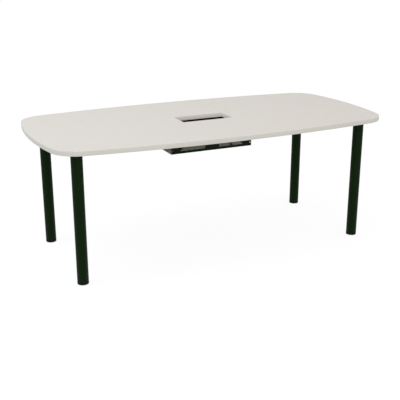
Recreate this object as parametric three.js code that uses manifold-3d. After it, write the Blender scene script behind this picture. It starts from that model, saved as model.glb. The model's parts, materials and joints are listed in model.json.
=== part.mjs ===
// A free-standing conference table: a barrel-shaped top on four round steel legs with levelling
// feet, two stiffening rails under the top, and a cable tray hung below a cable port in its middle.
// Millimetres, +Z up. The origin is on the floor under the middle of the top, +X along its length.
import * as THREE from 'three';
import { mergeVertices } from 'three/addons/utils/BufferGeometryUtils.js';
import Module from 'manifold-3d';

const wasm = await Module();
wasm.setup();

// Table top: a faced board with a glued band round its edge and another round the cable port
const TABLE_HEIGHT = 735;
const TOP_LENGTH = 2000;
const TOP_WIDTH = 1000;
const TOP_THICKNESS = 25;
const LONG_SIDE_RADIUS = 6500;
const END_RADIUS = 1700;
const CORNER_RADIUS = 150;
const BAND_THICKNESS = 2;
const PORT_LENGTH = 308;
const PORT_WIDTH = 147;

// Legs: steel tubes pushed over spigots that are screwed to the underside of the top
const LEG_DIAMETER = 60;
const LEG_WALL = 2;
const LEG_END_INSET = 157;
const LEG_SIDE_INSET = 172;
const FLANGE_DIAMETER = 104;
const FLANGE_THICKNESS = 4;
const FLANGE_SCREWS = 4;
const SPIGOT_LENGTH = 60;
const SPIGOT_WALL = 5;
const LOCK_SCREW_DIAMETER = 8;
const LOCK_SCREW_DROP = 30;
const LOCK_SOCKET_DIAMETER = 4;
const LOCK_SOCKET_DEPTH = 4;

// Levelling feet: a cap on a threaded stud turns in a plug in the leg, on a glide that stays still
const GLIDE_RIM = 4;
const GLIDE_THICKNESS = 3;
const GLIDE_CHAMFER = 1;
const GLIDE_PROUD = 0.5;
const CAP_HEIGHT = 15;
const CAP_EDGE_RADIUS = 1;
const CAP_FLOOR = 3;
const PLUG_LIP = 3;
const PLUG_LENGTH = 30;
const STUD_DIAMETER = 10;
const STUD_LENGTH = 50;
const STUD_CHAMFER = 1;

// Stiffening rails: folded steel hat sections, screwed up against the underside of the top
const RAIL_WIDTH = 40;
const RAIL_DEPTH = 25;
const RAIL_FLANGE = 18;
const RAIL_WALL = 2;
const RAIL_LEG_SETBACK = 93;
const RAIL_TRAY_GAP = 50;
const RAIL_SCREW_SETBACK = 60;

// Cable tray: a folded steel hat section, open at its ends, with two windows in its front wall, one long
// opening in its back wall, and a small hole near each end of both walls
const TRAY_LENGTH = 500;
const TRAY_WIDTH = 240;
const TRAY_DEPTH = 140;
const TRAY_WALL = 1.5;
const TRAY_FLANGE = 20;
const TRAY_SCREW_SETBACK = 50;
const WINDOW_SILL = 15;
const WINDOW_HEIGHT = 80;
const WINDOW_FOOT_LENGTH = 152;
const WINDOW_HEAD_LENGTH = 72;
const WINDOW_POST = 86;
const BACK_RIM = 15;
const END_HOLE_DIAMETER = 6;
const END_HOLE_SETBACK = 8;
const END_HOLE_HEIGHT = 20;

// Wood screws, the same all over
const SCREW_DIAMETER = 5;
const SCREW_HEAD_DIAMETER = 10;
const SCREW_HEAD_HEIGHT = 3;
const SCREW_HEAD_EDGE = 1.5;
const SCREW_GRIP = 16;
const SCREW_POINT = 5;
const PILOT_EXTRA_DEPTH = 1;

// Clearances between pieces, and how finely round shapes are faceted
const FIT_GAP = 0.3;
const MERGE_DISTANCE = 1e-4;
const LEG_SIDES = 24;
const STUD_SIDES = 12;
const SCREW_SIDES = 6;
const HOLE_SIDES = 8;
const EDGE_ARC_STEPS = 3;
const LONG_SIDE_STEPS = 10;
const CORNER_STEPS = 9;
const END_STEPS = 6;

const UNDERSIDE = TABLE_HEIGHT - TOP_THICKNESS;
const FLANGE_SEAT = UNDERSIDE - FLANGE_THICKNESS;
const LEG_X = TOP_LENGTH / 2 - LEG_END_INSET;
const LEG_Y = TOP_WIDTH / 2 - LEG_SIDE_INSET;
const LEG_BORE = LEG_DIAMETER - 2 * LEG_WALL;
const FLANGE_SCREW_CIRCLE = (LEG_DIAMETER + FLANGE_DIAMETER) / 2;
const SPIGOT_DIAMETER = LEG_BORE - 2 * FIT_GAP;
const LOCK_SCREW_Z = FLANGE_SEAT - LOCK_SCREW_DROP;
const GLIDE_DIAMETER = LEG_DIAMETER - 2 * (CAP_EDGE_RADIUS + GLIDE_RIM);
const CAP_TOP = GLIDE_PROUD + CAP_HEIGHT;
const PLUG_BOTTOM = CAP_TOP + FIT_GAP;
const LEG_BOTTOM = PLUG_BOTTOM + PLUG_LIP;
const STUD_BOTTOM = GLIDE_THICKNESS + CAP_FLOOR + 2 * FIT_GAP;
const RAIL_LENGTH = 2 * (LEG_X - RAIL_LEG_SETBACK);
const RAIL_Y = TRAY_WIDTH / 2 + TRAY_FLANGE + RAIL_TRAY_GAP + RAIL_FLANGE + RAIL_WIDTH / 2;
const SCREW_HOLE = SCREW_DIAMETER + 2 * FIT_GAP;

const LEGS = [
  { place: 'front_left', x: -LEG_X, y: -LEG_Y, inward: 1 },
  { place: 'front_right', x: LEG_X, y: -LEG_Y, inward: -1 },
  { place: 'back_left', x: -LEG_X, y: LEG_Y, inward: 1 },
  { place: 'back_right', x: LEG_X, y: LEG_Y, inward: -1 },
];

const finish = (color, roughness, metalness) => () =>
  new THREE.MeshStandardMaterial({ color, roughness, metalness });
const laminate = finish(0xe2dfd9, 0.55, 0);
const edging = finish(0xdedad3, 0.5, 0);
const darkGreenCoat = finish(0x1a2816, 0.45, 0.2);
const blackPlastic = finish(0x1c1c1b, 0.6, 0);
const greyPlastic = finish(0x3a3a39, 0.7, 0);
const castMetal = finish(0x8c8f92, 0.5, 0.8);
const plated = finish(0xb9bcc0, 0.35, 1);

const table = new THREE.Group();

function addMesh(parent, name, geometry, material, x = 0, y = 0, z = 0) {
  const mesh = new THREE.Mesh(geometry, material());
  mesh.name = name;
  mesh.position.set(x, y, z);
  parent.add(mesh);
}

// A closed geometry as a solid that can be cut and joined
function solidOf(geometry) {
  const bare = geometry.index ? geometry.toNonIndexed() : geometry.clone();
  bare.deleteAttribute('normal');
  bare.deleteAttribute('uv');
  const merged = mergeVertices(bare, MERGE_DISTANCE);
  const corners = merged.index.array;
  const triangles = [];
  for (let i = 0; i < corners.length; i += 3) {
    const [a, b, c] = corners.slice(i, i + 3);
    if (a !== b && b !== c && c !== a) triangles.push(a, b, c);
  }
  return new wasm.Manifold(
    new wasm.Mesh({
      numProp: 3,
      vertProperties: new Float32Array(merged.attributes.position.array),
      triVerts: new Uint32Array(triangles),
    }),
  );
}

function geometryOf(solid) {
  const mesh = solid.getMesh();
  const geometry = new THREE.BufferGeometry();
  geometry.setAttribute('position', new THREE.BufferAttribute(new Float32Array(mesh.vertProperties), 3));
  geometry.setIndex(new THREE.BufferAttribute(new Uint32Array(mesh.triVerts), 1));
  geometry.computeVertexNormals();
  return geometry;
}

function cutFrom(geometry, cutters) {
  let solid = solidOf(geometry);
  for (const cutter of cutters) solid = solid.subtract(solidOf(cutter));
  return geometryOf(solid);
}

// A profile of [radius, height] points turned about Z
function turned(profile, sides) {
  const points = profile.map(([radius, height]) => new THREE.Vector2(radius, height));
  return new THREE.LatheGeometry(points, sides).rotateX(Math.PI / 2);
}

function ring(profile, sides) {
  return turned([...profile, profile[0]], sides);
}

// An upright hole cutter from z = low to z = high
function drill(diameter, low, high, x, y) {
  const cutter = new THREE.CylinderGeometry(diameter / 2, diameter / 2, high - low, HOLE_SIDES);
  return cutter.rotateX(Math.PI / 2).translate(x, y, (low + high) / 2);
}

function extruded(shape, depth) {
  return new THREE.ExtrudeGeometry(shape, { depth, bevelEnabled: false, curveSegments: 1 });
}

function rectangle(length, width) {
  const [x, y] = [length / 2, width / 2];
  return [
    new THREE.Vector2(-x, -y),
    new THREE.Vector2(x, -y),
    new THREE.Vector2(x, y),
    new THREE.Vector2(-x, y),
  ];
}

// The barrel outline, moved in by an inset: long-side, corner and end arcs that meet smoothly
function barrelOutline(inset) {
  const sideCentreY = TOP_WIDTH / 2 - LONG_SIDE_RADIUS;
  const endCentreX = TOP_LENGTH / 2 - END_RADIUS;
  const toSide = LONG_SIDE_RADIUS - CORNER_RADIUS;
  const toEnd = END_RADIUS - CORNER_RADIUS;
  const apart = Math.hypot(endCentreX, sideCentreY);
  const along = (toSide ** 2 - toEnd ** 2 + apart ** 2) / (2 * apart);
  const across = Math.sqrt(toSide ** 2 - along ** 2);
  const [ux, uy] = [endCentreX / apart, -sideCentreY / apart];
  const cornerX = ux * along + uy * across;
  const cornerY = sideCentreY + uy * along - ux * across;
  const sideAngle = Math.atan2(cornerY - sideCentreY, cornerX);
  const endAngle = Math.atan2(cornerY, cornerX - endCentreX);
  const arcs = [
    [endCentreX, 0, END_RADIUS, 0, endAngle, END_STEPS],
    [cornerX, cornerY, CORNER_RADIUS, endAngle, sideAngle, CORNER_STEPS],
    [0, sideCentreY, LONG_SIDE_RADIUS, sideAngle, Math.PI / 2, LONG_SIDE_STEPS],
  ];
  const quarter = [];
  for (const [x, y, radius, start, end, steps] of arcs) {
    for (let i = 0; i < steps; i += 1) {
      const angle = start + ((end - start) * i) / steps;
      const reach = radius - inset;
      quarter.push(new THREE.Vector2(x + reach * Math.cos(angle), y + reach * Math.sin(angle)));
    }
  }
  const middle = new THREE.Vector2(0, TOP_WIDTH / 2 - inset);
  const upper = [...quarter, middle];
  const left = quarter.map((p) => new THREE.Vector2(-p.x, p.y)).reverse();
  const below = [...upper, ...left].slice(1, -1);
  const lower = below.map((p) => new THREE.Vector2(p.x, -p.y)).reverse();
  return [...upper, ...left, ...lower];
}

function plate(outline, hole, depth) {
  const shape = new THREE.Shape(outline);
  if (hole) shape.holes.push(new THREE.Path(hole));
  return extruded(shape, depth);
}

// A wood screw driven upwards, with its head's seat at z = 0, that goes through a sheet
function woodScrew(sheet) {
  const radius = SCREW_DIAMETER / 2;
  const headRadius = SCREW_HEAD_DIAMETER / 2;
  const length = sheet + SCREW_GRIP;
  const profile = [
    [0, -SCREW_HEAD_HEIGHT],
    [headRadius - SCREW_HEAD_EDGE, -SCREW_HEAD_HEIGHT],
    [headRadius, -SCREW_HEAD_HEIGHT + SCREW_HEAD_EDGE],
    [headRadius, 0],
    [radius, 0],
    [radius, length - SCREW_POINT],
    [0, length],
  ];
  return turned(profile, SCREW_SIDES);
}

function flangeScrewPlaces(leg) {
  const places = [];
  for (let i = 0; i < FLANGE_SCREWS; i += 1) {
    const angle = ((i + 0.5) * 2 * Math.PI) / FLANGE_SCREWS;
    const reach = FLANGE_SCREW_CIRCLE / 2;
    places.push([leg.x + reach * Math.cos(angle), leg.y + reach * Math.sin(angle)]);
  }
  return places;
}

// Screws sit in the outer flange at a rail's ends and in the inner flange at its middle
function railScrewPlaces(side) {
  const reach = RAIL_LENGTH / 2 - RAIL_SCREW_SETBACK;
  const step = (RAIL_WIDTH + RAIL_FLANGE) / 2;
  return [
    [-reach, side * (RAIL_Y + step)],
    [0, side * (RAIL_Y - step)],
    [reach, side * (RAIL_Y + step)],
  ];
}

function trayScrewPlaces() {
  const x = TRAY_LENGTH / 2 - TRAY_SCREW_SETBACK;
  const y = (TRAY_WIDTH + TRAY_FLANGE) / 2;
  return [
    [-x, -y],
    [x, -y],
    [-x, y],
    [x, y],
  ];
}

function addTop() {
  const boardPort = rectangle(PORT_LENGTH + 2 * BAND_THICKNESS, PORT_WIDTH + 2 * BAND_THICKNESS);
  const boardOutline = barrelOutline(BAND_THICKNESS);
  const screwPlaces = [
    ...LEGS.flatMap(flangeScrewPlaces),
    ...railScrewPlaces(-1),
    ...railScrewPlaces(1),
    ...trayScrewPlaces(),
  ];
  const pilots = screwPlaces.map(([x, y]) =>
    drill(SCREW_HOLE, -SCREW_GRIP, SCREW_GRIP + PILOT_EXTRA_DEPTH, x, y),
  );
  const board = cutFrom(plate(boardOutline, boardPort, TOP_THICKNESS), pilots);
  addMesh(table, 'tabletop_board', board, laminate, 0, 0, UNDERSIDE);
  const edgeBand = plate(barrelOutline(0), boardOutline, TOP_THICKNESS);
  addMesh(table, 'edge_band', edgeBand, edging, 0, 0, UNDERSIDE);
  const portBand = plate(boardPort, rectangle(PORT_LENGTH, PORT_WIDTH), TOP_THICKNESS);
  addMesh(table, 'cable_port_band', portBand, edging, 0, 0, UNDERSIDE);
}

// The lock screw lies level, on the side of the leg that faces the middle of the table
function lockHole(leg) {
  const diameter = LOCK_SCREW_DIAMETER + 2 * FIT_GAP;
  const cutter = new THREE.CylinderGeometry(diameter / 2, diameter / 2, LEG_DIAMETER, HOLE_SIDES);
  return cutter.rotateZ(Math.PI / 2).translate((leg.inward * LEG_DIAMETER) / 2, 0, LOCK_SCREW_Z);
}

function legBracket(leg) {
  const outer = SPIGOT_DIAMETER / 2;
  const inner = outer - SPIGOT_WALL;
  const foot = FLANGE_SEAT - SPIGOT_LENGTH;
  const profile = [
    [inner, foot],
    [outer, foot],
    [outer, FLANGE_SEAT],
    [FLANGE_DIAMETER / 2, FLANGE_SEAT],
    [FLANGE_DIAMETER / 2, UNDERSIDE],
    [inner, UNDERSIDE],
  ];
  const holes = flangeScrewPlaces(leg).map(([x, y]) =>
    drill(SCREW_HOLE, FLANGE_SEAT - FLANGE_THICKNESS, UNDERSIDE + FLANGE_THICKNESS, x - leg.x, y - leg.y),
  );
  return cutFrom(ring(profile, LEG_SIDES), [...holes, lockHole(leg)]);
}

function legTube(leg) {
  const profile = [
    [LEG_BORE / 2, LEG_BOTTOM],
    [LEG_DIAMETER / 2, LEG_BOTTOM],
    [LEG_DIAMETER / 2, FLANGE_SEAT],
    [LEG_BORE / 2, FLANGE_SEAT],
  ];
  return cutFrom(ring(profile, LEG_SIDES), [lockHole(leg)]);
}

// A headless screw with a socket, flush with the outside of the leg
function lockScrew(leg) {
  const radius = LOCK_SCREW_DIAMETER / 2;
  const socket = LOCK_SOCKET_DIAMETER / 2;
  const length = LEG_WALL + FIT_GAP + SPIGOT_WALL;
  const profile = [
    [0, 0],
    [radius, 0],
    [radius, length],
    [socket, length],
    [socket, length - LOCK_SOCKET_DEPTH],
    [0, length - LOCK_SOCKET_DEPTH],
  ];
  const geometry = turned(profile, STUD_SIDES).rotateY((leg.inward * Math.PI) / 2);
  const start = SPIGOT_DIAMETER / 2 - SPIGOT_WALL;
  return geometry.translate(leg.inward * start, 0, LOCK_SCREW_Z);
}

function footPlug() {
  const bore = STUD_DIAMETER / 2 + FIT_GAP;
  const body = LEG_BORE / 2 - FIT_GAP;
  return ring(
    [
      [bore, PLUG_BOTTOM],
      [LEG_DIAMETER / 2, PLUG_BOTTOM],
      [LEG_DIAMETER / 2, LEG_BOTTOM],
      [body, LEG_BOTTOM],
      [body, LEG_BOTTOM + PLUG_LENGTH],
      [bore, LEG_BOTTOM + PLUG_LENGTH],
    ],
    LEG_SIDES,
  );
}

function footStud() {
  const radius = STUD_DIAMETER / 2;
  const top = STUD_BOTTOM + STUD_LENGTH;
  return turned(
    [
      [0, STUD_BOTTOM],
      [radius, STUD_BOTTOM],
      [radius, top - STUD_CHAMFER],
      [radius - STUD_CHAMFER, top],
      [0, top],
    ],
    STUD_SIDES,
  );
}

// The cap holds the stud in a blind hole above and the glide in a shallow recess below
function footCap() {
  const outer = LEG_DIAMETER / 2;
  const recess = GLIDE_DIAMETER / 2 + FIT_GAP;
  const ceiling = GLIDE_THICKNESS + FIT_GAP;
  const bore = STUD_DIAMETER / 2 + FIT_GAP;
  const profile = [
    [0, ceiling],
    [recess, ceiling],
    [recess, GLIDE_PROUD],
  ];
  for (let i = 0; i <= EDGE_ARC_STEPS; i += 1) {
    const angle = (i / EDGE_ARC_STEPS) * (Math.PI / 2);
    profile.push([
      outer - CAP_EDGE_RADIUS * (1 - Math.sin(angle)),
      GLIDE_PROUD + CAP_EDGE_RADIUS * (1 - Math.cos(angle)),
    ]);
  }
  profile.push([outer, CAP_TOP], [bore, CAP_TOP]);
  profile.push([bore, STUD_BOTTOM - FIT_GAP], [0, STUD_BOTTOM - FIT_GAP]);
  return turned(profile, LEG_SIDES);
}

function footGlide() {
  const radius = GLIDE_DIAMETER / 2;
  return turned(
    [
      [0, 0],
      [radius - GLIDE_CHAMFER, 0],
      [radius, GLIDE_CHAMFER],
      [radius, GLIDE_THICKNESS],
      [0, GLIDE_THICKNESS],
    ],
    LEG_SIDES,
  );
}

function addLeg(leg) {
  const group = new THREE.Group();
  group.position.set(leg.x, leg.y, 0);
  table.add(group);
  addMesh(group, `leg_bracket_${leg.place}`, legBracket(leg), castMetal);
  addMesh(group, `leg_tube_${leg.place}`, legTube(leg), darkGreenCoat);
  addMesh(group, `leg_lock_screw_${leg.place}`, lockScrew(leg), plated);
  addMesh(group, `foot_plug_${leg.place}`, footPlug(), blackPlastic);
  addMesh(group, `foot_stud_${leg.place}`, footStud(), plated);
  addMesh(group, `foot_cap_${leg.place}`, footCap(), blackPlastic);
  addMesh(group, `foot_glide_${leg.place}`, footGlide(), greyPlastic);
  flangeScrewPlaces(leg).forEach(([x, y], i) => {
    const name = `leg_screw_${leg.place}_${i + 1}`;
    addMesh(group, name, woodScrew(FLANGE_THICKNESS), plated, x - leg.x, y - leg.y, FLANGE_SEAT);
  });
}

// A folded hat section along X, with its two flanges up at z = 0 and its crown hanging below
function hatSection(length, width, depth, flange, wall) {
  const [w, f] = [width / 2, width / 2 + flange];
  const section = new THREE.Shape([
    new THREE.Vector2(-f, 0),
    new THREE.Vector2(-f, -wall),
    new THREE.Vector2(-w, -wall),
    new THREE.Vector2(-w, -depth),
    new THREE.Vector2(w, -depth),
    new THREE.Vector2(w, -wall),
    new THREE.Vector2(f, -wall),
    new THREE.Vector2(f, 0),
    new THREE.Vector2(w - wall, 0),
    new THREE.Vector2(w - wall, wall - depth),
    new THREE.Vector2(wall - w, wall - depth),
    new THREE.Vector2(wall - w, 0),
  ]);
  const bar = extruded(section, length).translate(0, 0, -length / 2);
  return bar.rotateX(Math.PI / 2).rotateZ(Math.PI / 2);
}

function addRail(name, side) {
  const bar = hatSection(RAIL_LENGTH, RAIL_WIDTH, RAIL_DEPTH, RAIL_FLANGE, RAIL_WALL);
  const places = railScrewPlaces(side);
  const holes = places.map(([x, y]) =>
    drill(SCREW_HOLE, -2 * RAIL_WALL, RAIL_WALL, x, y - side * RAIL_Y),
  );
  addMesh(table, name, cutFrom(bar, holes), darkGreenCoat, 0, side * RAIL_Y, UNDERSIDE);
  places.forEach(([x, y], i) => {
    addMesh(table, `${name}_screw_${i + 1}`, woodScrew(RAIL_WALL), plated, x, y, UNDERSIDE - RAIL_WALL);
  });
}

// A window in the front wall, upright at the post and leaning in at its far end
function trayWindow(side) {
  const start = WINDOW_POST / 2;
  const sill = WINDOW_SILL - TRAY_DEPTH;
  const corners = [
    new THREE.Vector2(side * start, sill),
    new THREE.Vector2(side * (start + WINDOW_FOOT_LENGTH), sill),
    new THREE.Vector2(side * (start + WINDOW_HEAD_LENGTH), sill + WINDOW_HEIGHT),
    new THREE.Vector2(side * start, sill + WINDOW_HEIGHT),
  ];
  return extruded(new THREE.Shape(corners), TRAY_WIDTH).rotateX(Math.PI / 2);
}

// The opening in the back wall is as high as the windows and leaves a narrow rim at each end
function trayBackOpening() {
  const cutter = new THREE.BoxGeometry(TRAY_LENGTH - 2 * BACK_RIM, TRAY_WIDTH, WINDOW_HEIGHT);
  return cutter.translate(0, TRAY_WIDTH / 2, WINDOW_SILL + WINDOW_HEIGHT / 2 - TRAY_DEPTH);
}

// One hole runs through both side walls, near an end of the tray
function trayEndHole(side) {
  const radius = END_HOLE_DIAMETER / 2;
  const cutter = new THREE.CylinderGeometry(radius, radius, 2 * TRAY_WIDTH, HOLE_SIDES);
  return cutter.translate(side * (TRAY_LENGTH / 2 - END_HOLE_SETBACK), 0, END_HOLE_HEIGHT - TRAY_DEPTH);
}

function addTray() {
  const sheet = hatSection(TRAY_LENGTH, TRAY_WIDTH, TRAY_DEPTH, TRAY_FLANGE, TRAY_WALL);
  const places = trayScrewPlaces();
  const holes = places.map(([x, y]) => drill(SCREW_HOLE, -2 * TRAY_WALL, TRAY_WALL, x, y));
  const sides = [-1, 1];
  const openings = [...sides.map(trayWindow), trayBackOpening(), ...sides.map(trayEndHole)];
  const tray = cutFrom(sheet, [...openings, ...holes]);
  addMesh(table, 'cable_tray', tray, darkGreenCoat, 0, 0, UNDERSIDE);
  places.forEach(([x, y], i) => {
    addMesh(table, `cable_tray_screw_${i + 1}`, woodScrew(TRAY_WALL), plated, x, y, UNDERSIDE - TRAY_WALL);
  });
}

addTop();
LEGS.forEach(addLeg);
addRail('stiffener_rail_front', -1);
addRail('stiffener_rail_back', 1);
addTray();

export default table;
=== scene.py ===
import json
import math

import bmesh
import bpy
from bpy.props import FloatProperty, FloatVectorProperty, IntProperty, PointerProperty
from mathutils import Matrix, Vector

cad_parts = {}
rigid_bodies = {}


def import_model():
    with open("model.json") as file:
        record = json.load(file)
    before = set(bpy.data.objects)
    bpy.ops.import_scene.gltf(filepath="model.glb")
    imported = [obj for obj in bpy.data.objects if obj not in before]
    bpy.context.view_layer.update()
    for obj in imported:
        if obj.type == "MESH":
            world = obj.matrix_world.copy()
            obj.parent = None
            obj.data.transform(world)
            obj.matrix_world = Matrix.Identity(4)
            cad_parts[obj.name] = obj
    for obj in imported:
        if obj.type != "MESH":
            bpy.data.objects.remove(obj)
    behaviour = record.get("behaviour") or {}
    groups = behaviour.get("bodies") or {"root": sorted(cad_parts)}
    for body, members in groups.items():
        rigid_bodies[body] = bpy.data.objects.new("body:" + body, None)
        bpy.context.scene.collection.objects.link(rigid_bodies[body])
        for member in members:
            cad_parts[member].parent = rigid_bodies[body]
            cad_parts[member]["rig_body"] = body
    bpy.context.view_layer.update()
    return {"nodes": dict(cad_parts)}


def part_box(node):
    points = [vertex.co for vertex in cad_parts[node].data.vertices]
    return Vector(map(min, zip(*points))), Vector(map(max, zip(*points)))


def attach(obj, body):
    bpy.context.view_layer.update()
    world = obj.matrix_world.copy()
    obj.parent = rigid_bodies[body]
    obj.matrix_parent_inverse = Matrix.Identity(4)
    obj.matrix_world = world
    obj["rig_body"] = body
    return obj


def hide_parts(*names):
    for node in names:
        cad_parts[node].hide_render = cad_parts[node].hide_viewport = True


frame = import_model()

bl_info = {
    "name": "Conference Table",
    "version": (1, 0, 0),
    "blender": (4, 5, 0),
    "location": "3D View > Sidebar > Table",
    "description": "Models and finishes a barrel-topped conference table around its packed solids",
    "category": "Object",
}

PLACES = ("front_left", "front_right", "back_left", "back_right")
SIDES = ("front", "back")
UP = Vector((0, 0, 1))

# Lengths in metres
MERGE_DISTANCE = 1e-6
NEAR = 2e-4
START_SIZE = 0.01
CUT_PAST = 0.02

SMOOTH_ANGLE = math.radians(35)
LEAST_ARC_STEPS = 4
SCREW_STEPS = 32
HEX_SIDES = 6

# A turn of the foot studs' thread, and the shares of the pitch between which its crest is flat
THREAD_STEPS = 24
CREST_START = 0.4
CREST_END = 0.6

# Most of a noise texture's values lie between these
NOISE_LOW = 0.3
NOISE_HIGH = 0.7
TRAY_SHEEN = (0.92, 1, 0.69, 1)


def box_size(node):
    low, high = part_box(node)
    return high - low


def box_centre(node):
    low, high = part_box(node)
    return (low + high) / 2


def band_width():
    """Thickness of the edging, by which the board is smaller than the top."""
    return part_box("edge_band")[1].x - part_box("tabletop_board")[1].x


class TableSizes(bpy.types.PropertyGroup):
    """Sizes that the solids' boxes don't tell."""

    long_side_radius: FloatProperty(
        name="Long Side Radius", description="Radius of the bowed long sides", default=6.5, unit="LENGTH"
    )
    end_radius: FloatProperty(
        name="End Radius", description="Radius of the bowed ends", default=1.7, unit="LENGTH"
    )
    corner_radius: FloatProperty(
        name="Corner Radius", description="Radius of the top's corners", default=0.15, unit="LENGTH"
    )
    arc_step: FloatProperty(
        name="Arc Step", description="Length of one step along the outline", default=0.008, unit="LENGTH"
    )
    arris: FloatProperty(
        name="Arris", description="Rounding of the bands' outer edges", default=0.0014, unit="LENGTH"
    )
    bend: FloatProperty(
        name="Bend", description="Inner radius of the folds in sheet steel", default=0.0008, unit="LENGTH"
    )
    tray_wall: FloatProperty(
        name="Tray Wall", description="Sheet thickness of the tray", default=0.0015, unit="LENGTH"
    )
    tray_width: FloatProperty(
        name="Tray Width", description="Width of the tray between its flanges", default=0.24, unit="LENGTH"
    )
    rail_wall: FloatProperty(
        name="Rail Wall", description="Sheet thickness of the rails", default=0.002, unit="LENGTH"
    )
    rail_width: FloatProperty(
        name="Rail Width", description="Width of a rail between its flanges", default=0.04, unit="LENGTH"
    )
    window_sill: FloatProperty(
        name="Window Sill", description="Height of the sill over the tray's bottom", default=0.015,
        unit="LENGTH"
    )
    window_height: FloatProperty(
        name="Window Height", description="Height of the tray's windows", default=0.08, unit="LENGTH"
    )
    window_foot: FloatProperty(
        name="Window Foot", description="Length of a window at its sill", default=0.152, unit="LENGTH"
    )
    window_head: FloatProperty(
        name="Window Head", description="Length of a window at its head", default=0.072, unit="LENGTH"
    )
    window_post: FloatProperty(
        name="Window Post", description="Width of the post between two windows", default=0.086, unit="LENGTH"
    )
    back_rim: FloatProperty(
        name="Back Rim", description="From a tray end to the opening in the back wall", default=0.015,
        unit="LENGTH"
    )
    window_corner: FloatProperty(
        name="Window Corner", description="Corner radius of the windows", default=0.002, unit="LENGTH"
    )
    end_hole: FloatProperty(
        name="End Hole", description="Diameter of the holes near the tray's ends", default=0.006,
        unit="LENGTH"
    )
    end_hole_setback: FloatProperty(
        name="End Hole Setback", description="From a tray end to its holes", default=0.008, unit="LENGTH"
    )
    end_hole_height: FloatProperty(
        name="End Hole Height", description="From the tray's bottom to its end holes", default=0.02,
        unit="LENGTH"
    )
    leg_wall: FloatProperty(
        name="Leg Wall", description="Wall of the leg tubes", default=0.002, unit="LENGTH"
    )
    fit_gap: FloatProperty(
        name="Fit Gap", description="Clearance between fitted pieces", default=0.0003, unit="LENGTH"
    )
    flange_thickness: FloatProperty(
        name="Flange Thickness", description="Thickness of the bracket flanges", default=0.004, unit="LENGTH"
    )
    spigot_wall: FloatProperty(
        name="Spigot Wall", description="Wall of the bracket spigots", default=0.005, unit="LENGTH"
    )
    screw: FloatProperty(
        name="Screw", description="Shank diameter of the wood screws", default=0.005, unit="LENGTH"
    )
    screw_head: FloatProperty(
        name="Screw Head", description="Head height of the wood screws", default=0.003, unit="LENGTH"
    )
    pilot_extra: FloatProperty(
        name="Pilot Extra", description="Depth of the pilot holes past the screws' points", default=0.001,
        unit="LENGTH"
    )
    cap_edge: FloatProperty(
        name="Cap Edge", description="Rounding of the foot caps' lower edge", default=0.001, unit="LENGTH"
    )
    thread_pitch: FloatProperty(
        name="Thread Pitch", description="Pitch of the foot studs", default=0.0015, unit="LENGTH"
    )
    thread_depth: FloatProperty(
        name="Thread Depth", description="Depth of the foot studs' thread", default=0.0009, unit="LENGTH"
    )
    round_steps: IntProperty(
        name="Round Steps", description="Steps round a leg", default=96, min=24
    )


def colour(name, description, default):
    return FloatVectorProperty(name=name, description=description, subtype="COLOR", size=3, default=default)


class TableColours(bpy.types.PropertyGroup):
    """Base colours of the finishes, as linear values."""

    laminate: colour("Laminate", "Warm pale grey of the top", (0.728, 0.671, 0.613))
    edging: colour("Edging", "Warm pale grey of the outer band", (0.737, 0.705, 0.641))
    # The port band is the same edging as the outer band, painted paler: painted light that makes up for the
    # shade in the deep port
    port_edging_painted_light: colour("Port Edging Painted Light", "Paler grey of the band in the cable port", (0.836, 0.776, 0.701))
    coat: colour("Coat", "Very dark green of the legs and rails", (0.0033, 0.0145, 0.0015))
    tray: colour("Tray Coat", "Green black of the tray", (0.001, 0.0065, 0.0004))
    plastic: colour("Plastic", "Black of the feet", (0.007, 0.007, 0.007))
    glide: colour("Glide", "Dark grey of the glides", (0.04, 0.04, 0.042))
    cast: colour("Cast Metal", "Dull grey of the brackets", (0.28, 0.29, 0.30))
    plated: colour("Plated Steel", "Zinc grey of the screws", (0.56, 0.57, 0.60))


class TableStage(bpy.types.PropertyGroup):
    """Floor, light and camera."""

    azimuth: FloatProperty(
        name="Azimuth", description="Turn of the camera round the table", default=math.radians(-25.088),
        subtype="ANGLE"
    )
    elevation: FloatProperty(
        name="Elevation", description="Height of the camera over the horizon", default=math.radians(18.569),
        subtype="ANGLE"
    )
    distance: FloatProperty(
        name="Distance", description="From the camera to its aim", default=4.39985, unit="LENGTH"
    )
    aim: FloatVectorProperty(
        name="Aim", description="Point that the camera looks at", default=(-0.01994, 0, 0.23853), size=3,
        subtype="TRANSLATION"
    )
    lens: FloatProperty(
        name="Lens", description="Focal length in millimetres", default=66.94, unit="CAMERA"
    )
    floor_size: FloatProperty(
        name="Floor Size", description="Side of the floor", default=60, unit="LENGTH"
    )
    ambient: FloatProperty(
        name="Ambient", description="Strength of the light from all round", default=0.72
    )
    key_power: FloatProperty(
        name="Key Power", description="Power of the soft light on the left", default=35, unit="POWER"
    )
    key_tint: FloatVectorProperty(
        name="Key Tint", description="Slightly cool colour of the light on the left", default=(0.73, 0.9, 1),
        size=3, subtype="COLOR"
    )
    fill_power: FloatProperty(
        name="Fill Power", description="Power of the soft light in front", default=77, unit="POWER"
    )


# Modelling helpers


def deselect():
    if bpy.context.object and bpy.context.object.mode != "OBJECT":
        bpy.ops.object.mode_set(mode="OBJECT")
    bpy.ops.object.select_all(action="DESELECT")


def make_active(piece):
    deselect()
    piece.select_set(True)
    bpy.context.view_layer.objects.active = piece


def edit(piece):
    make_active(piece)
    bpy.ops.object.mode_set(mode="EDIT")


def leave_edit():
    bpy.ops.object.mode_set(mode="OBJECT")


def start_chain(name, point):
    """A new mesh of one selected vertex at a point, left in edit mode."""
    deselect()
    bpy.ops.mesh.primitive_plane_add(size=START_SIZE, enter_editmode=True)
    piece = bpy.context.object
    piece.name = piece.data.name = name
    bpy.ops.mesh.select_mode(type="VERT")
    bpy.ops.mesh.select_all(action="SELECT")
    bpy.ops.mesh.merge(type="CENTER")
    bpy.ops.transform.translate(value=point)
    return piece


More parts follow.
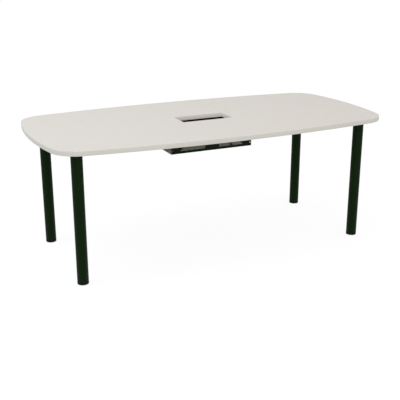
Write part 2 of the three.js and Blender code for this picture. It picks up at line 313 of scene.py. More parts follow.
def extend_chain(points):
    """Extrudes the selected vertex along points, the first of which is where it is."""
    for here, there in zip(points, points[1:]):
        step = Vector(there) - Vector(here)
        bpy.ops.mesh.extrude_region_move(TRANSFORM_OT_translate={"value": step})


def merge_and_turn_out():
    bpy.ops.mesh.select_all(action="SELECT")
    bpy.ops.mesh.remove_doubles(threshold=MERGE_DISTANCE)
    bpy.ops.mesh.normals_make_consistent(inside=False)


def select_edges(piece, test):
    """Selects the edges whose two ends both pass a test of their place."""
    bpy.ops.mesh.select_mode(type="EDGE")
    bpy.ops.mesh.select_all(action="DESELECT")
    mesh = bmesh.from_edit_mesh(piece.data)
    for edge in mesh.edges:
        if all(test(vert.co) for vert in edge.verts):
            edge.select_set(True)
    bmesh.update_edit_mesh(piece.data)


def bevel_edges(piece, test, radius, segments):
    select_edges(piece, test)
    bpy.ops.mesh.bevel(offset=radius, segments=segments, affect="EDGES", clamp_overlap=True)


def on_ring(radius, height):
    """A test for points on a circle round Z."""
    return lambda p: abs(math.hypot(p.x, p.y) - radius) < NEAR and abs(p.z - height) < NEAR


def turned_piece(name, profile, steps):
    """Spins a profile of (radius, height) points once round Z, and stays in edit mode."""
    points = [(radius, 0, height) for radius, height in profile]
    piece = start_chain(name, points[0])
    extend_chain(points)
    bpy.ops.mesh.select_all(action="SELECT")
    bpy.ops.mesh.spin(steps=steps, angle=2 * math.pi, center=(0, 0, 0), axis=UP)
    merge_and_turn_out()
    return piece


def apply_modifier(piece, kind, **settings):
    make_active(piece)
    modifier = piece.modifiers.new(kind.lower(), kind)
    for key, value in settings.items():
        setattr(modifier, key, value)
    bpy.ops.object.modifier_apply(modifier=modifier.name)


def cut_out(piece, cutters):
    """Cuts the cutters out of a piece and deletes them."""
    for cutter in cutters:
        apply_modifier(piece, "BOOLEAN", operation="DIFFERENCE", solver="EXACT", object=cutter)
        bpy.data.objects.remove(cutter)


def drill(radius, centre, axis, length, steps=SCREW_STEPS):
    """A cylinder to cut a hole with."""
    deselect()
    turn = UP.rotation_difference(Vector(axis)).to_euler()
    bpy.ops.mesh.primitive_cylinder_add(
        vertices=steps, radius=radius, depth=length, location=centre, rotation=turn
    )
    return bpy.context.object


def smooth(piece):
    make_active(piece)
    bpy.ops.object.shade_smooth_by_angle(angle=SMOOTH_ANGLE)


def settle(piece, matrix=None):
    """Moves a piece's mesh to its place, with its object at the origin."""
    make_active(piece)
    if matrix is not None:
        piece.matrix_world = matrix @ piece.matrix_world
    bpy.ops.object.transform_apply(location=True, rotation=True, scale=True)


def copy_of(piece, name):
    twin = piece.copy()
    twin.data = piece.data.copy()
    twin.name = twin.data.name = name
    bpy.context.scene.collection.objects.link(twin)
    return twin


def hand_over(piece, node, material):
    """Dresses a finished piece, which then rides on its node's body and stands for the node."""
    piece.data.materials.clear()
    piece.data.materials.append(material)
    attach(piece, frame["nodes"][node]["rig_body"])
    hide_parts(node)


def wood_screws(start=""):
    """The nodes of the wood screws whose names begin with start."""
    screws = [node for node in frame["nodes"] if "screw" in node and "lock" not in node]
    return sorted(node for node in screws if node.startswith(start))


def screw_holes(sizes, start, origin=Vector()):
    """Cutters for the holes that the wood screws named by start pass through, placed from an origin."""
    radius = sizes.screw / 2 + sizes.fit_gap
    return [drill(radius, box_centre(node) - origin, UP, 2 * CUT_PAST) for node in wood_screws(start)]


def leg_axis(place):
    centre = box_centre(f"leg_tube_{place}")
    return Vector((centre.x, centre.y, 0))


def inward(place):
    """+1 where the middle of the table lies along +X from a leg, and -1 where it lies along -X."""
    return -1 if leg_axis(place).x > 0 else 1


def leg_matrix(place):
    """Moves a piece made on the Z axis to its leg, with its +X side turned to the middle of the table."""
    turn = Matrix.Rotation(0 if inward(place) > 0 else math.pi, 4, "Z")
    return Matrix.Translation(leg_axis(place)) @ turn


def lock_hole(sizes, outer):
    """A cutter for the lock screw's hole in the +X side of a tube of that outer radius."""
    node = f"leg_lock_screw_{PLACES[0]}"
    radius = box_size(node).z / 2 + sizes.fit_gap
    return drill(radius, (outer, 0, box_centre(node).z), (1, 0, 0), outer)


# Finishes


class Finish:
    """A material whose colour, roughness and bump come from noise on Object coordinates."""

    def __init__(self, name, metallic=0.0, specular=0.5):
        self.material = bpy.data.materials.new(name)
        self.material.use_nodes = True
        self.nodes = self.material.node_tree.nodes
        self.links = self.material.node_tree.links
        self.shader = self.nodes["Principled BSDF"]
        self.shader.inputs["Metallic"].default_value = metallic
        self.shader.inputs["Specular IOR Level"].default_value = specular
        self.place = self.nodes.new("ShaderNodeTexCoord").outputs["Object"]

    def noise(self, grain, detail=2.0, stretch=(1, 1, 1)):
        """Noise whose features are about one grain across, longer where stretch is above 1."""
        mapping = self.nodes.new("ShaderNodeMapping")
        mapping.inputs["Scale"].default_value = [1 / s for s in stretch]
        texture = self.nodes.new("ShaderNodeTexNoise")
        texture.inputs["Scale"].default_value = 1 / grain
        texture.inputs["Detail"].default_value = detail
        self.links.new(self.place, mapping.inputs["Vector"])
        self.links.new(mapping.outputs["Vector"], texture.inputs["Vector"])
        return texture.outputs["Fac"]

    def colour(self, base, spread, fac):
        """The base colour, darker by the spread where the noise is low and lighter where it is high."""
        ramp = self.nodes.new("ShaderNodeValToRGB")
        ramp.color_ramp.elements[0].position = NOISE_LOW
        ramp.color_ramp.elements[1].position = NOISE_HIGH
        ramp.color_ramp.elements[0].color = [c * (1 - spread) for c in base] + [1]
        ramp.color_ramp.elements[1].color = [c * (1 + spread) for c in base] + [1]
        self.links.new(fac, ramp.inputs["Fac"])
        self.links.new(ramp.outputs["Color"], self.shader.inputs["Base Color"])

    def roughness(self, low, high, fac):
        span = self.nodes.new("ShaderNodeMapRange")
        span.inputs["From Min"].default_value = NOISE_LOW
        span.inputs["From Max"].default_value = NOISE_HIGH
        span.inputs["To Min"].default_value = low
        span.inputs["To Max"].default_value = high
        self.links.new(fac, span.inputs["Value"])
        self.links.new(span.outputs["Result"], self.shader.inputs["Roughness"])

    def bump(self, height, strength, fac):
        node = self.nodes.new("ShaderNodeBump")
        node.inputs["Distance"].default_value = height
        node.inputs["Strength"].default_value = strength
        self.links.new(fac, node.inputs["Height"])
        self.links.new(node.outputs["Normal"], self.shader.inputs["Normal"])


def finish_once(name, build):
    """The finish of that name, built when it is first asked for."""
    return bpy.data.materials.get(name) or build(name)


def build_laminate(name):
    """Printed laminate: a cloudy tint, a fine fleck and a pearled surface."""
    finish = Finish(name, specular=0.35)
    base = bpy.context.scene.table_colours.laminate
    finish.colour(base, spread=0.018, fac=finish.noise(grain=0.004, detail=6))
    finish.roughness(low=0.46, high=0.6, fac=finish.noise(grain=0.03, detail=3))
    finish.bump(height=0.0002, strength=0.12, fac=finish.noise(grain=0.0009))
    return finish.material


def build_edging(name):
    """Edging of the outer band."""
    return extruded_edging(name, bpy.context.scene.table_colours.edging)


def build_port_edging_painted_light(name):
    """Edging of the cable port: the outer band's edging painted paler, as painted light in place of the light
    that the port's deep walls miss.
    """
    return extruded_edging(name, bpy.context.scene.table_colours.port_edging_painted_light)


def extruded_edging(name, base):
    """Extruded edging: faint lines along the band."""
    finish = Finish(name, specular=0.35)
    along = finish.noise(grain=0.0012, detail=3, stretch=(60, 60, 1))
    finish.colour(base, spread=0.02, fac=along)
    finish.roughness(low=0.42, high=0.55, fac=finish.noise(grain=0.02))
    finish.bump(height=0.0001, strength=0.1, fac=along)
    return finish.material


def build_coat(name):
    """Powder coat: an orange-peel surface with a soft change of tone."""
    finish = Finish(name, specular=0.065)
    base = bpy.context.scene.table_colours.coat
    finish.colour(base, spread=0.12, fac=finish.noise(grain=0.02, detail=5))
    finish.roughness(low=0.42, high=0.52, fac=finish.noise(grain=0.006))
    finish.bump(height=0.0002, strength=0.1, fac=finish.noise(grain=0.0016, detail=1))
    return finish.material


def build_tray_coat(name):
    """Satin coat with a little metal in it, which takes an olive light at a glancing view."""
    finish = Finish(name, metallic=0.25, specular=0.137)
    finish.shader.inputs["Specular Tint"].default_value = TRAY_SHEEN
    base = bpy.context.scene.table_colours.tray
    finish.colour(base, spread=0.12, fac=finish.noise(grain=0.02, detail=5))
    finish.roughness(low=0.27, high=0.35, fac=finish.noise(grain=0.006))
    finish.bump(height=0.0002, strength=0.06, fac=finish.noise(grain=0.0016, detail=1))
    return finish.material


def build_plastic(name):
    """Moulded plastic with a fine eroded grain."""
    finish = Finish(name, specular=0.1)
    base = bpy.context.scene.table_colours.plastic
    finish.colour(base, spread=0.2, fac=finish.noise(grain=0.003, detail=4))
    finish.roughness(low=0.5, high=0.68, fac=finish.noise(grain=0.004))
    finish.bump(height=0.0002, strength=0.3, fac=finish.noise(grain=0.0006))
    return finish.material


def build_glide(name):
    """Waxy plastic, scuffed by the floor."""
    finish = Finish(name, specular=0.3)
    base = bpy.context.scene.table_colours.glide
    finish.colour(base, spread=0.25, fac=finish.noise(grain=0.002, detail=6))
    finish.roughness(low=0.55, high=0.8, fac=finish.noise(grain=0.005, detail=4))
    finish.bump(height=0.0002, strength=0.2, fac=finish.noise(grain=0.0008, stretch=(6, 1, 1)))
    return finish.material


def build_cast(name):
    """Die-cast metal with a dull, slightly pitted skin."""
    finish = Finish(name, metallic=0.9)
    base = bpy.context.scene.table_colours.cast
    finish.colour(base, spread=0.12, fac=finish.noise(grain=0.006, detail=6))
    finish.roughness(low=0.45, high=0.62, fac=finish.noise(grain=0.003, detail=4))
    finish.bump(height=0.0003, strength=0.2, fac=finish.noise(grain=0.0015, detail=4))
    return finish.material


def build_plated(name):
    """Zinc-plated steel with a faint drift of tone."""
    finish = Finish(name, metallic=1.0)
    base = bpy.context.scene.table_colours.plated
    finish.colour(base, spread=0.08, fac=finish.noise(grain=0.003, detail=3))
    finish.roughness(low=0.26, high=0.42, fac=finish.noise(grain=0.001))
    finish.bump(height=0.0001, strength=0.15, fac=finish.noise(grain=0.0005, stretch=(1, 1, 4)))
    return finish.material


LAMINATE = ("laminate_finish", build_laminate)
EDGING = ("edging_finish", build_edging)
PORT_EDGING_PAINTED_LIGHT = ("port_edging_painted_light_finish", build_port_edging_painted_light)
COAT = ("coat_finish", build_coat)
TRAY_COAT = ("tray_finish", build_tray_coat)
PLASTIC = ("plastic_finish", build_plastic)
GLIDE = ("glide_finish", build_glide)
CAST = ("cast_finish", build_cast)
PLATED = ("plated_finish", build_plated)


# The table top


def barrel_arcs(inset):
    """Start point and (centre, angle, radius) of the arcs round the top, moved in by an inset."""
    sizes = bpy.context.scene.table_sizes
    half = box_size("edge_band") / 2
    side_centre = Vector((0, half.y - sizes.long_side_radius, 0))
    end_centre = Vector((half.x - sizes.end_radius, 0, 0))
    to_side = sizes.long_side_radius - sizes.corner_radius
    to_end = sizes.end_radius - sizes.corner_radius
    between = end_centre - side_centre
    apart = between.length
    along = (to_side**2 - to_end**2 + apart**2) / (2 * apart)
    across = math.sqrt(to_side**2 - along**2)
    ahead = between / apart
    corner = side_centre + ahead * along + Vector((ahead.y, -ahead.x, 0)) * across
    side_angle = math.atan2(corner.y - side_centre.y, corner.x)
    end_angle = math.atan2(corner.y, corner.x - end_centre.x)
    end, turn, side = end_angle, side_angle - end_angle, math.pi - 2 * side_angle
    flip_x, flip_y = Matrix.Scale(-1, 3, (1, 0, 0)), Matrix.Scale(-1, 3, (0, 1, 0))
    arcs = [
        (end_centre, end, sizes.end_radius),
        (corner, turn, sizes.corner_radius),
        (side_centre, side, sizes.long_side_radius),
        (flip_x @ corner, turn, sizes.corner_radius),
        (flip_x @ end_centre, 2 * end, sizes.end_radius),
        (flip_x @ flip_y @ corner, turn, sizes.corner_radius),
        (flip_y @ side_centre, side, sizes.long_side_radius),
        (flip_y @ corner, turn, sizes.corner_radius),
        (end_centre, end, sizes.end_radius),
    ]
    return Vector((half.x - inset, 0, 0)), arcs


def outline_loop(name, inset, height):
    """Draws the barrel outline as a closed loop, by spinning a vertex along its arcs."""
    step = bpy.context.scene.table_sizes.arc_step
    start, arcs = barrel_arcs(inset)
    loop = start_chain(name, start + UP * height)
    for centre, angle, radius in arcs:
        steps = max(LEAST_ARC_STEPS, round(radius * angle / step))
        bpy.ops.mesh.spin(steps=steps, angle=-angle, center=centre + UP * height, axis=UP)
    bpy.ops.mesh.select_all(action="SELECT")
    bpy.ops.mesh.remove_doubles(threshold=NEAR)
    leave_edit()
    return loop


class TABLE_OT_board(bpy.types.Operator):
    """Model the faced board of the top with its cable port and the pilot holes of its screws"""

    bl_idname = "conference_table.board"
    bl_label = "Board"

    def execute(self, context):
        low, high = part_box("tabletop_board")
        board = outline_loop("board_faced", band_width(), low.z)
        edit(board)
        bpy.ops.mesh.select_all(action="SELECT")
        bpy.ops.mesh.edge_face_add()
        bpy.ops.mesh.extrude_region_move(TRANSFORM_OT_translate={"value": (0, 0, high.z - low.z)})
        merge_and_turn_out()
        leave_edit()
        port = box_size("cable_port_band")
        deselect()
        bpy.ops.mesh.primitive_cube_add(size=1, location=(0, 0, (low.z + high.z) / 2))
        cutter = bpy.context.object
        cutter.scale = (port.x, port.y, port.z + CUT_PAST)
        settle(cutter)
        cut_out(board, [cutter, *self.pilots(context.scene.table_sizes, low.z)])
        smooth(board)
        hand_over(board, "tabletop_board", finish_once(*LAMINATE))
        return {"FINISHED"}

    def pilots(self, sizes, underside):
        """Cutters for the blind holes that take the screws from below."""
        cutters = []
        radius = sizes.screw / 2 + sizes.fit_gap
        for node in wood_screws():
            centre = box_centre(node)
            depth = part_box(node)[1].z - underside + sizes.pilot_extra
            cutters.append(drill(radius, (centre.x, centre.y, underside), UP, 2 * depth))
        return cutters


class TABLE_OT_bands(bpy.types.Operator):
    """Model the edging round the top and round the cable port"""

    bl_idname = "conference_table.bands"
    bl_label = "Edge Bands"

    def execute(self, context):
        self.outer_band(context.scene.table_sizes)
        self.port_band(context.scene.table_sizes)
        return {"FINISHED"}

    def outer_band(self, sizes):
        low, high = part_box("edge_band")
        width = band_width()
        band = outline_loop("edge_band_rounded", 0, low.z)
        inner = outline_loop("edge_band_inner", width, low.z)
        make_active(band)
        inner.select_set(True)
        bpy.ops.object.join()
        edit(band)
        bpy.ops.mesh.select_all(action="SELECT")
        bpy.ops.mesh.bridge_edge_loops()
        bpy.ops.mesh.select_all(action="SELECT")
        bpy.ops.mesh.extrude_region_move(TRANSFORM_OT_translate={"value": (0, 0, high.z - low.z)})
        merge_and_turn_out()
        quarter = barrel_arcs(0)[1][:3]

        def on_rim(p):
            """True on the outer outline, at the top or the bottom of the band."""
            if min(abs(p.z - low.z), abs(p.z - high.z)) > NEAR:
                return False
            flat = Vector((abs(p.x), abs(p.y), 0))
            return any(abs((flat - centre).length - radius) < width / 4 for centre, _, radius in quarter)

        bevel_edges(band, on_rim, sizes.arris, segments=4)
        leave_edit()
        smooth(band)
        hand_over(band, "edge_band", finish_once(*EDGING))

    def port_band(self, sizes):
        low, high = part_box("cable_port_band")
        width = band_width()
        deselect()
        bpy.ops.mesh.primitive_plane_add(size=1, location=(0, 0, low.z))
        band = bpy.context.object
        band.name = band.data.name = "port_band_rounded"
        band.scale = (high.x - low.x, high.y - low.y, 1)
        settle(band)
        edit(band)
        bpy.ops.mesh.select_all(action="SELECT")
        bpy.ops.mesh.inset(thickness=width)
        bpy.ops.mesh.delete(type="FACE")
        bpy.ops.mesh.select_all(action="SELECT")
        bpy.ops.mesh.extrude_region_move(TRANSFORM_OT_translate={"value": (0, 0, high.z - low.z)})
        merge_and_turn_out()

        def on_mouth(p):
            """True on the inner rim, at the top or the bottom of the band."""
            if min(abs(p.z - low.z), abs(p.z - high.z)) > NEAR:
                return False
            return abs(p.x) < high.x - width / 2 and abs(p.y) < high.y - width / 2

        bevel_edges(band, on_mouth, sizes.arris / 2, segments=3)
        leave_edit()
        smooth(band)
        # The port band takes the paler edging, painted light over its shaded walls
        hand_over(band, "cable_port_band", finish_once(*PORT_EDGING_PAINTED_LIGHT))


# Legs and feet


class TABLE_OT_legs(bpy.types.Operator):
    """Model the leg tubes with the holes of their lock screws"""

    bl_idname = "conference_table.legs"
    bl_label = "Leg Tubes"

    def execute(self, context):
        sizes = context.scene.table_sizes
        low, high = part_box(f"leg_tube_{PLACES[0]}")
        outer = (high.x - low.x) / 2
        inner = outer - sizes.leg_wall
        profile = [(inner, low.z), (outer, low.z), (outer, high.z), (inner, high.z), (inner, low.z)]
        tube = turned_piece("leg_pattern", profile, sizes.round_steps)
        for radius in (inner, outer):
            for height in (low.z, high.z):
                bevel_edges(tube, on_ring(radius, height), sizes.leg_wall / 5, segments=2)
        leave_edit()
        cut_out(tube, [lock_hole(sizes, outer)])
        smooth(tube)
        for place in PLACES:
            leg = copy_of(tube, f"leg_{place}")
            settle(leg, leg_matrix(place))
            hand_over(leg, f"leg_tube_{place}", finish_once(*COAT))
        bpy.data.objects.remove(tube)
        return {"FINISHED"}


class TABLE_OT_brackets(bpy.types.Operator):
    """Model the cast brackets that hold the legs under the top"""

    bl_idname = "conference_table.brackets"
    bl_label = "Leg Brackets"

    def execute(self, context):
        sizes = context.scene.table_sizes
        low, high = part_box(f"leg_bracket_{PLACES[0]}")
        leg = box_size(f"leg_tube_{PLACES[0]}").x / 2
        outer = leg - sizes.leg_wall - sizes.fit_gap
        inner = outer - sizes.spigot_wall
        rim = (high.x - low.x) / 2
        seat = high.z - sizes.flange_thickness
        profile = [
            (inner, low.z), (outer, low.z), (outer, seat), (rim, seat), (rim, high.z), (inner, high.z),
            (inner, low.z),
        ]
        bracket = turned_piece("bracket_pattern", profile, sizes.round_steps)
        bevel_edges(bracket, on_ring(rim, seat), sizes.flange_thickness / 3, segments=3)
        bevel_edges(bracket, on_ring(outer, low.z), sizes.spigot_wall / 4, segments=3)
        leave_edit()
        holes = screw_holes(sizes, f"leg_screw_{PLACES[0]}", leg_axis(PLACES[0]))
        cut_out(bracket, [*holes, lock_hole(sizes, outer)])
        smooth(bracket)
        for place in PLACES:
            piece = copy_of(bracket, f"bracket_{place}")
            settle(piece, leg_matrix(place))
            hand_over(piece, f"leg_bracket_{place}", finish_once(*CAST))
        bpy.data.objects.remove(bracket)
        return {"FINISHED"}


class TABLE_OT_feet(bpy.types.Operator):
    """Model the plugs, caps, threaded studs and glides of the levelling feet"""

    bl_idname = "conference_table.feet"
    bl_label = "Levelling Feet"

    def execute(self, context):
        sizes = context.scene.table_sizes
        patterns = {
            "foot_plug": (self.plug(sizes), PLASTIC),
            "foot_cap": (self.cap(sizes), PLASTIC),
            "foot_stud": (self.stud(sizes), PLATED),
            "foot_glide": (self.glide(sizes), GLIDE),
        }
        for kind, (pattern, finish) in patterns.items():
            for place in PLACES:
                piece = copy_of(pattern, f"{kind}_made_{place}")
                settle(piece, Matrix.Translation(leg_axis(place)))
                hand_over(piece, f"{kind}_{place}", finish_once(*finish))
            bpy.data.objects.remove(pattern)
        return {"FINISHED"}

    def bore(self, sizes):
        """Radius of the bores that the studs go into."""
        return box_size(f"foot_stud_{PLACES[0]}").x / 2 + sizes.fit_gap

    def plug(self, sizes):
        low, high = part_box(f"foot_plug_{PLACES[0]}")
        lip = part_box(f"leg_tube_{PLACES[0]}")[0].z
        outer = (high.x - low.x) / 2
        body = outer - sizes.leg_wall - sizes.fit_gap
        bore = self.bore(sizes)
        profile = [
            (bore, low.z), (outer, low.z), (outer, lip), (body, lip), (body, high.z), (bore, high.z),
            (bore, low.z),
        ]
        plug = turned_piece("plug_pattern", profile, sizes.round_steps)
        for height in (low.z, lip):
            bevel_edges(plug, on_ring(outer, height), sizes.leg_wall / 4, segments=3)
        bevel_edges(plug, on_ring(body, high.z), sizes.leg_wall, segments=3)
        leave_edit()
        smooth(plug)
        return plug

    def cap(self, sizes):
        low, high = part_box(f"foot_cap_{PLACES[0]}")
        glide = box_size(f"foot_glide_{PLACES[0]}")
        outer = (high.x - low.x) / 2
        recess = glide.x / 2 + sizes.fit_gap
        ceiling = glide.z + sizes.fit_gap
        bore = self.bore(sizes)
        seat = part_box(f"foot_stud_{PLACES[0]}")[0].z - sizes.fit_gap
        profile = [
            (0, ceiling), (recess, ceiling), (recess, low.z), (outer, low.z), (outer, high.z), (bore, high.z),
            (bore, seat), (0, seat),
        ]
        cap = turned_piece("cap_pattern", profile, sizes.round_steps)
        bevel_edges(cap, on_ring(outer, low.z), sizes.cap_edge, segments=4)
        bevel_edges(cap, on_ring(outer, high.z), sizes.cap_edge / 2, segments=3)
        leave_edit()
        smooth(cap)
        return cap

    def stud(self, sizes):
        """A core with a ridge that winds round it, closed at both ends."""
        low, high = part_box(f"foot_stud_{PLACES[0]}")
        crest = (high.x - low.x) / 2
        root = crest - sizes.thread_depth
        pitch = sizes.thread_pitch
        turns = int((high.z - low.z) / pitch) - 1
        ridge = [(root, 0), (crest, CREST_START * pitch), (crest, CREST_END * pitch), (root, pitch)]
        points = [(radius, 0, low.z + height) for radius, height in ridge]
        stud = start_chain("stud_pattern", points[0])
        extend_chain(points)
        leave_edit()
        apply_modifier(
            stud, "SCREW", angle=2 * math.pi, screw_offset=pitch, iterations=turns, steps=THREAD_STEPS,
            render_steps=THREAD_STEPS, use_merge_vertices=True, merge_threshold=MERGE_DISTANCE,
        )
        edit(stud)
        bpy.ops.mesh.select_all(action="SELECT")
        bpy.ops.mesh.remove_doubles(threshold=MERGE_DISTANCE)
        bpy.ops.mesh.select_all(action="DESELECT")
        bpy.ops.mesh.select_mode(type="EDGE")
        bpy.ops.mesh.select_non_manifold()
        bpy.ops.mesh.fill_holes(sides=0)
        merge_and_turn_out()
        leave_edit()
        smooth(stud)
        return stud

    def glide(self, sizes):
        low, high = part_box(f"foot_glide_{PLACES[0]}")
        outer = (high.x - low.x) / 2
        thickness = high.z - low.z
        profile = [(0, 0), (outer, 0), (outer, thickness), (0, thickness)]
        glide = turned_piece("glide_pattern", profile, sizes.round_steps)
        bevel_edges(glide, on_ring(outer, 0), thickness / 3, segments=3)
        leave_edit()
        smooth(glide)
        return glide


# Under the top


def along_x(y, z):
    """A test for points on a line along X."""
    return lambda p: abs(p.y - y) < NEAR and abs(p.z - z) < NEAR


def along_y(x, z):
    """A test for points on a line along Y."""
    return lambda p: abs(p.x - x) < NEAR and abs(p.z - z) < NEAR


def hat_section(name, node, width, wall, bend):
    """Folds a sheet to a hat section along X in a node's place, with its flanges up."""
    low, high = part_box(node)
    middle = (low.y + high.y) / 2
    flange, crown = (high.y - low.y) / 2, width / 2
    seat = high.z - wall
    section = [
        (-flange, seat), (-crown, seat), (-crown, low.z), (crown, low.z), (crown, seat), (flange, seat),
    ]
    points = [(low.x, middle + y, z) for y, z in section]
    sheet = start_chain(name, points[0])
    extend_chain(points)
    bpy.ops.mesh.select_all(action="SELECT")
    bpy.ops.mesh.extrude_region_move(TRANSFORM_OT_translate={"value": (high.x - low.x, 0, 0)})
    for y in (-crown, crown):
        bevel_edges(sheet, along_x(middle + y, low.z), bend + wall, segments=5)
        bevel_edges(sheet, along_x(middle + y, seat), bend, segments=4)
    leave_edit()
    lowest = min(sheet.data.polygons, key=lambda face: face.center.z)
    if lowest.normal.z > 0:
        sheet.data.flip_normals()
    apply_modifier(sheet, "SOLIDIFY", thickness=wall, offset=-1, use_even_offset=True)
    return sheet


class TABLE_OT_rails(bpy.types.Operator):
    """Model the folded stiffening rails"""

    bl_idname = "conference_table.rails"
    bl_label = "Stiffening Rails"

    def execute(self, context):
        sizes = context.scene.table_sizes
        for side in SIDES:
            node = f"stiffener_rail_{side}"
            rail = hat_section(f"rail_{side}", node, sizes.rail_width, sizes.rail_wall, sizes.bend)
            cut_out(rail, screw_holes(sizes, f"{node}_screw"))
            smooth(rail)
            hand_over(rail, node, finish_once(*COAT))
        return {"FINISHED"}


class TABLE_OT_tray(bpy.types.Operator):
    """Model the folded cable tray with its windows"""

    bl_idname = "conference_table.tray"
    bl_label = "Cable Tray"

    def execute(self, context):
        sizes = context.scene.table_sizes
        low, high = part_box("cable_tray")
        tray = hat_section("tray_folded", "cable_tray", sizes.tray_width, sizes.tray_wall, sizes.bend)
        cutters = screw_holes(sizes, "cable_tray_screw")
        sill = low.z + sizes.window_sill
        head = sill + sizes.window_height
        past_wall = sizes.tray_width / 2 + CUT_PAST
        for side in (-1, 1):
            post = side * sizes.window_post / 2
            foot, top = post + side * sizes.window_foot, post + side * sizes.window_head
            window = [(post, sill), (foot, sill), (top, head), (post, head)]
            cutters.append(self.opening(sizes, window, -past_wall))
            centre = (side * (high.x - sizes.end_hole_setback), 0, low.z + sizes.end_hole_height)
            cutters.append(drill(sizes.end_hole / 2, centre, (0, 1, 0), 2 * past_wall))
        end = high.x - sizes.back_rim
        back = [(-end, sill), (end, sill), (end, head), (-end, head)]
        cutters.append(self.opening(sizes, back, past_wall))
        cut_out(tray, cutters)
        smooth(tray)
        hand_over(tray, "cable_tray", finish_once(*TRAY_COAT))
        return {"FINISHED"}

    def opening(self, sizes, corners, past_wall):
        """A round-cornered cutter from the middle of the tray to past one of its side walls."""
        points = [(x, 0, z) for x, z in corners]
        cutter = start_chain("opening_cutter", points[0])
        extend_chain(points)
        bpy.ops.mesh.select_all(action="SELECT")
        bpy.ops.mesh.edge_face_add()
        bpy.ops.mesh.extrude_region_move(TRANSFORM_OT_translate={"value": (0, past_wall, 0)})
        merge_and_turn_out()
        for x, z in corners:
            bevel_edges(cutter, along_y(x, z), sizes.window_corner, segments=5)
        leave_edit()
        return cutter


class TABLE_OT_screws(bpy.types.Operator):
    """Model the wood screws and the lock screws"""

    bl_idname = "conference_table.screws"
    bl_label = "Screws"

    def execute(self, context):
        sizes = context.scene.table_sizes
        patterns = {}
        for node in wood_screws():
            low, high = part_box(node)
            length = round(high.z - low.z, 5)
            if length not in patterns:
                patterns[length] = self.wood_screw(sizes, high.y - low.y, length)
            screw = copy_of(patterns[length], f"{node}_made")
            centre = box_centre(node)
            settle(screw, Matrix.Translation((centre.x, centre.y, low.z)))
            hand_over(screw, node, finish_once(*PLATED))
        for pattern in patterns.values():
            bpy.data.objects.remove(pattern)
        for place in PLACES:
            self.lock_screw(sizes, place)
        return {"FINISHED"}

    def wood_screw(self, sizes, head, length):
        """A pan-head screw that stands on its head, with a cross in it."""
        shank, rim, height = sizes.screw / 2, head / 2, sizes.screw_head
        slot_length, slot_width = rim, rim / 5
        profile = [(0, 0), (rim, 0), (rim, height), (shank, height), (shank, length - shank * 2), (0, length)]
        screw = turned_piece("screw_pattern", profile, SCREW_STEPS)
        bevel_edges(screw, on_ring(rim, 0), height / 2, segments=4)
        leave_edit()
        cutters = []
        for turn in (0, math.pi / 2):
            deselect()
            bpy.ops.mesh.primitive_cube_add(size=1, rotation=(0, 0, turn))
            slot = bpy.context.object
            slot.scale = (slot_length, slot_width, height)
            settle(slot)
            cutters.append(slot)
        cut_out(screw, cutters)
        smooth(screw)
        return screw

    def lock_screw(self, sizes, place):
        """A headless screw with a hexagon socket, level in the leg's wall."""
        node = f"leg_lock_screw_{place}"
        low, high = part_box(node)
        radius, length = (high.z - low.z) / 2, high.x - low.x
        socket = radius / 2
        profile = [(0, 0), (radius, 0), (radius, length), (0, length)]
        screw = turned_piece(f"{node}_made", profile, SCREW_STEPS)
        bevel_edges(screw, on_ring(radius, 0), radius / 5, segments=2)
        bevel_edges(screw, on_ring(radius, length), radius / 8, segments=2)
        leave_edit()
        cut_out(screw, [drill(socket, (0, 0, length), UP, length, steps=HEX_SIDES)])
        smooth(screw)
        facing = inward(place)
        start = low if facing > 0 else high
        turn = Matrix.Rotation(facing * math.pi / 2, 4, "Y")
        centre = box_centre(node)
        settle(screw, Matrix.Translation((start.x, centre.y, centre.z)) @ turn)
        hand_over(screw, node, finish_once(*PLATED))


# Floor, light and camera


# The seen floor's glow and paint, which make white together, and its paint for the light that it sends on
FLOOR_GLOW = 0.9
FLOOR_PAINT = 0.14
FLOOR_BOUNCE = 0.6

KEY_PLACE = Vector((-2.2, 0, 3.6))
KEY_SIZE = 2.5
FILL_PLACE = Vector((-0.7, -6, 3.4))
FILL_SIZE = 3.5
FILL_TINT = (1, 1, 1)
LIGHT_AIM = Vector((-0.2, 0, 0.7))


def seen_directly(nodes, links):
    """1 for rays from the camera, and for those that gloss or glass sends on, and 0 for the rest."""
    path = nodes.new("ShaderNodeLightPath")
    total = path.outputs["Is Camera Ray"]
    for kind in ("Is Glossy Ray", "Is Transmission Ray"):
        either = nodes.new("ShaderNodeMath")
        either.operation = "MAXIMUM"
        links.new(total, either.inputs[0])
        links.new(path.outputs[kind], either.inputs[1])
        total = either.outputs[0]
    return total


def floor_finish():
    """Paint that bounces light, and glows nearly white under the table's shadow where it is seen."""
    material = bpy.data.materials.new("studio_floor")
    material.use_nodes = True
    nodes, links = material.node_tree.nodes, material.node_tree.links
    nodes.clear()
    seen = seen_directly(nodes, links)
    tone = nodes.new("ShaderNodeMapRange")
    tone.inputs["To Min"].default_value = FLOOR_BOUNCE
    tone.inputs["To Max"].default_value = FLOOR_PAINT
    paint = nodes.new("ShaderNodeBsdfDiffuse")
    strength = nodes.new("ShaderNodeMath")
    strength.operation = "MULTIPLY"
    strength.inputs[1].default_value = FLOOR_GLOW
    glow = nodes.new("ShaderNodeEmission")
    both = nodes.new("ShaderNodeAddShader")
    out = nodes.new("ShaderNodeOutputMaterial")
    links.new(seen, tone.inputs["Value"])
    links.new(tone.outputs["Result"], paint.inputs["Color"])
    links.new(seen, strength.inputs[0])
    links.new(strength.outputs[0], glow.inputs["Strength"])
    links.new(paint.outputs[0], both.inputs[0])
    links.new(glow.outputs[0], both.inputs[1])
    links.new(both.outputs[0], out.inputs["Surface"])
    return material


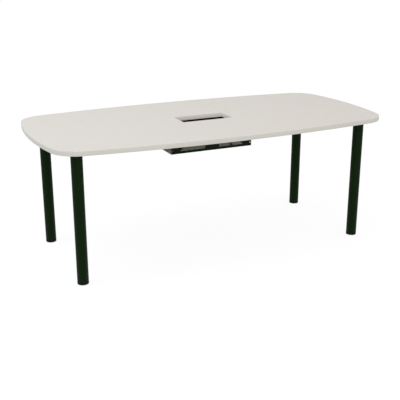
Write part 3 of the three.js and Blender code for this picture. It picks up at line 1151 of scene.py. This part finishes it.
class TABLE_OT_stage(bpy.types.Operator):
    """Set up the floor, the light and the camera"""

    bl_idname = "conference_table.stage"
    bl_label = "Stage"

    def execute(self, context):
        settings = context.scene.table_stage
        context.scene.view_settings.view_transform = "Standard"
        deselect()
        bpy.ops.mesh.primitive_plane_add(size=settings.floor_size)
        floor = context.object
        floor.name = "studio_floor"
        floor.data.materials.append(floor_finish())
        self.surroundings(context.scene, settings.ambient)
        self.soft_light("soft_key", KEY_PLACE, KEY_SIZE, settings.key_power, settings.key_tint)
        self.soft_light("soft_fill", FILL_PLACE, FILL_SIZE, settings.fill_power, FILL_TINT)
        self.camera(context.scene, settings)
        return {"FINISHED"}

    def surroundings(self, scene, ambient):
        """White all round, with less of it as light than as background."""
        world = bpy.data.worlds.new("studio")
        scene.world = world
        world.use_nodes = True
        nodes, links = world.node_tree.nodes, world.node_tree.links
        level = nodes.new("ShaderNodeMapRange")
        level.inputs["To Min"].default_value = ambient
        level.inputs["To Max"].default_value = 1
        links.new(seen_directly(nodes, links), level.inputs["Value"])
        background = nodes["Background"]
        background.inputs["Color"].default_value = (1, 1, 1, 1)
        links.new(level.outputs["Result"], background.inputs["Strength"])

    def soft_light(self, name, place, size, power, tint):
        """A large soft light that is aimed at the table."""
        turn = (LIGHT_AIM - place).to_track_quat("-Z", "Y").to_euler()
        bpy.ops.object.light_add(type="AREA", location=place, rotation=turn)
        lamp = bpy.context.object
        lamp.name = name
        lamp.data.size = size
        lamp.data.energy = power
        lamp.data.color = tint

    def camera(self, scene, settings):
        across, up = math.cos(settings.elevation), math.sin(settings.elevation)
        back = Vector((math.sin(settings.azimuth) * across, -math.cos(settings.azimuth) * across, up))
        place = Vector(settings.aim) + back * settings.distance
        turn = (-back).to_track_quat("-Z", "Y").to_euler()
        bpy.ops.object.camera_add(location=place, rotation=turn)
        scene.camera = bpy.context.object
        scene.camera.name = "photo_camera"
        scene.camera.data.lens = settings.lens


STEPS = (
    TABLE_OT_board,
    TABLE_OT_bands,
    TABLE_OT_legs,
    TABLE_OT_brackets,
    TABLE_OT_feet,
    TABLE_OT_rails,
    TABLE_OT_tray,
    TABLE_OT_screws,
    TABLE_OT_stage,
)


class TABLE_PT_sidebar(bpy.types.Panel):
    """Lists the steps that make the table"""

    bl_label = "Conference Table"
    bl_idname = "TABLE_PT_sidebar"
    bl_space_type = "VIEW_3D"
    bl_region_type = "UI"
    bl_category = "Table"

    def draw(self, context):
        for step in STEPS:
            self.layout.operator(step.bl_idname)
        for group in (context.scene.table_sizes, context.scene.table_colours, context.scene.table_stage):
            for key in group.__annotations__:
                self.layout.prop(group, key)


GROUPS = {"table_sizes": TableSizes, "table_colours": TableColours, "table_stage": TableStage}
CLASSES = (*GROUPS.values(), *STEPS, TABLE_PT_sidebar)


def register():
    for item in CLASSES:
        bpy.utils.register_class(item)
    for name, group in GROUPS.items():
        setattr(bpy.types.Scene, name, PointerProperty(type=group))


def unregister():
    for name in GROUPS:
        delattr(bpy.types.Scene, name)
    for item in reversed(CLASSES):
        bpy.utils.unregister_class(item)


def main():
    register()
    bpy.ops.conference_table.board()
    bpy.ops.conference_table.bands()
    bpy.ops.conference_table.legs()
    bpy.ops.conference_table.brackets()
    bpy.ops.conference_table.feet()
    bpy.ops.conference_table.rails()
    bpy.ops.conference_table.tray()
    bpy.ops.conference_table.screws()
    bpy.ops.conference_table.stage()
    deselect()


if __name__ == "__main__":
    main()
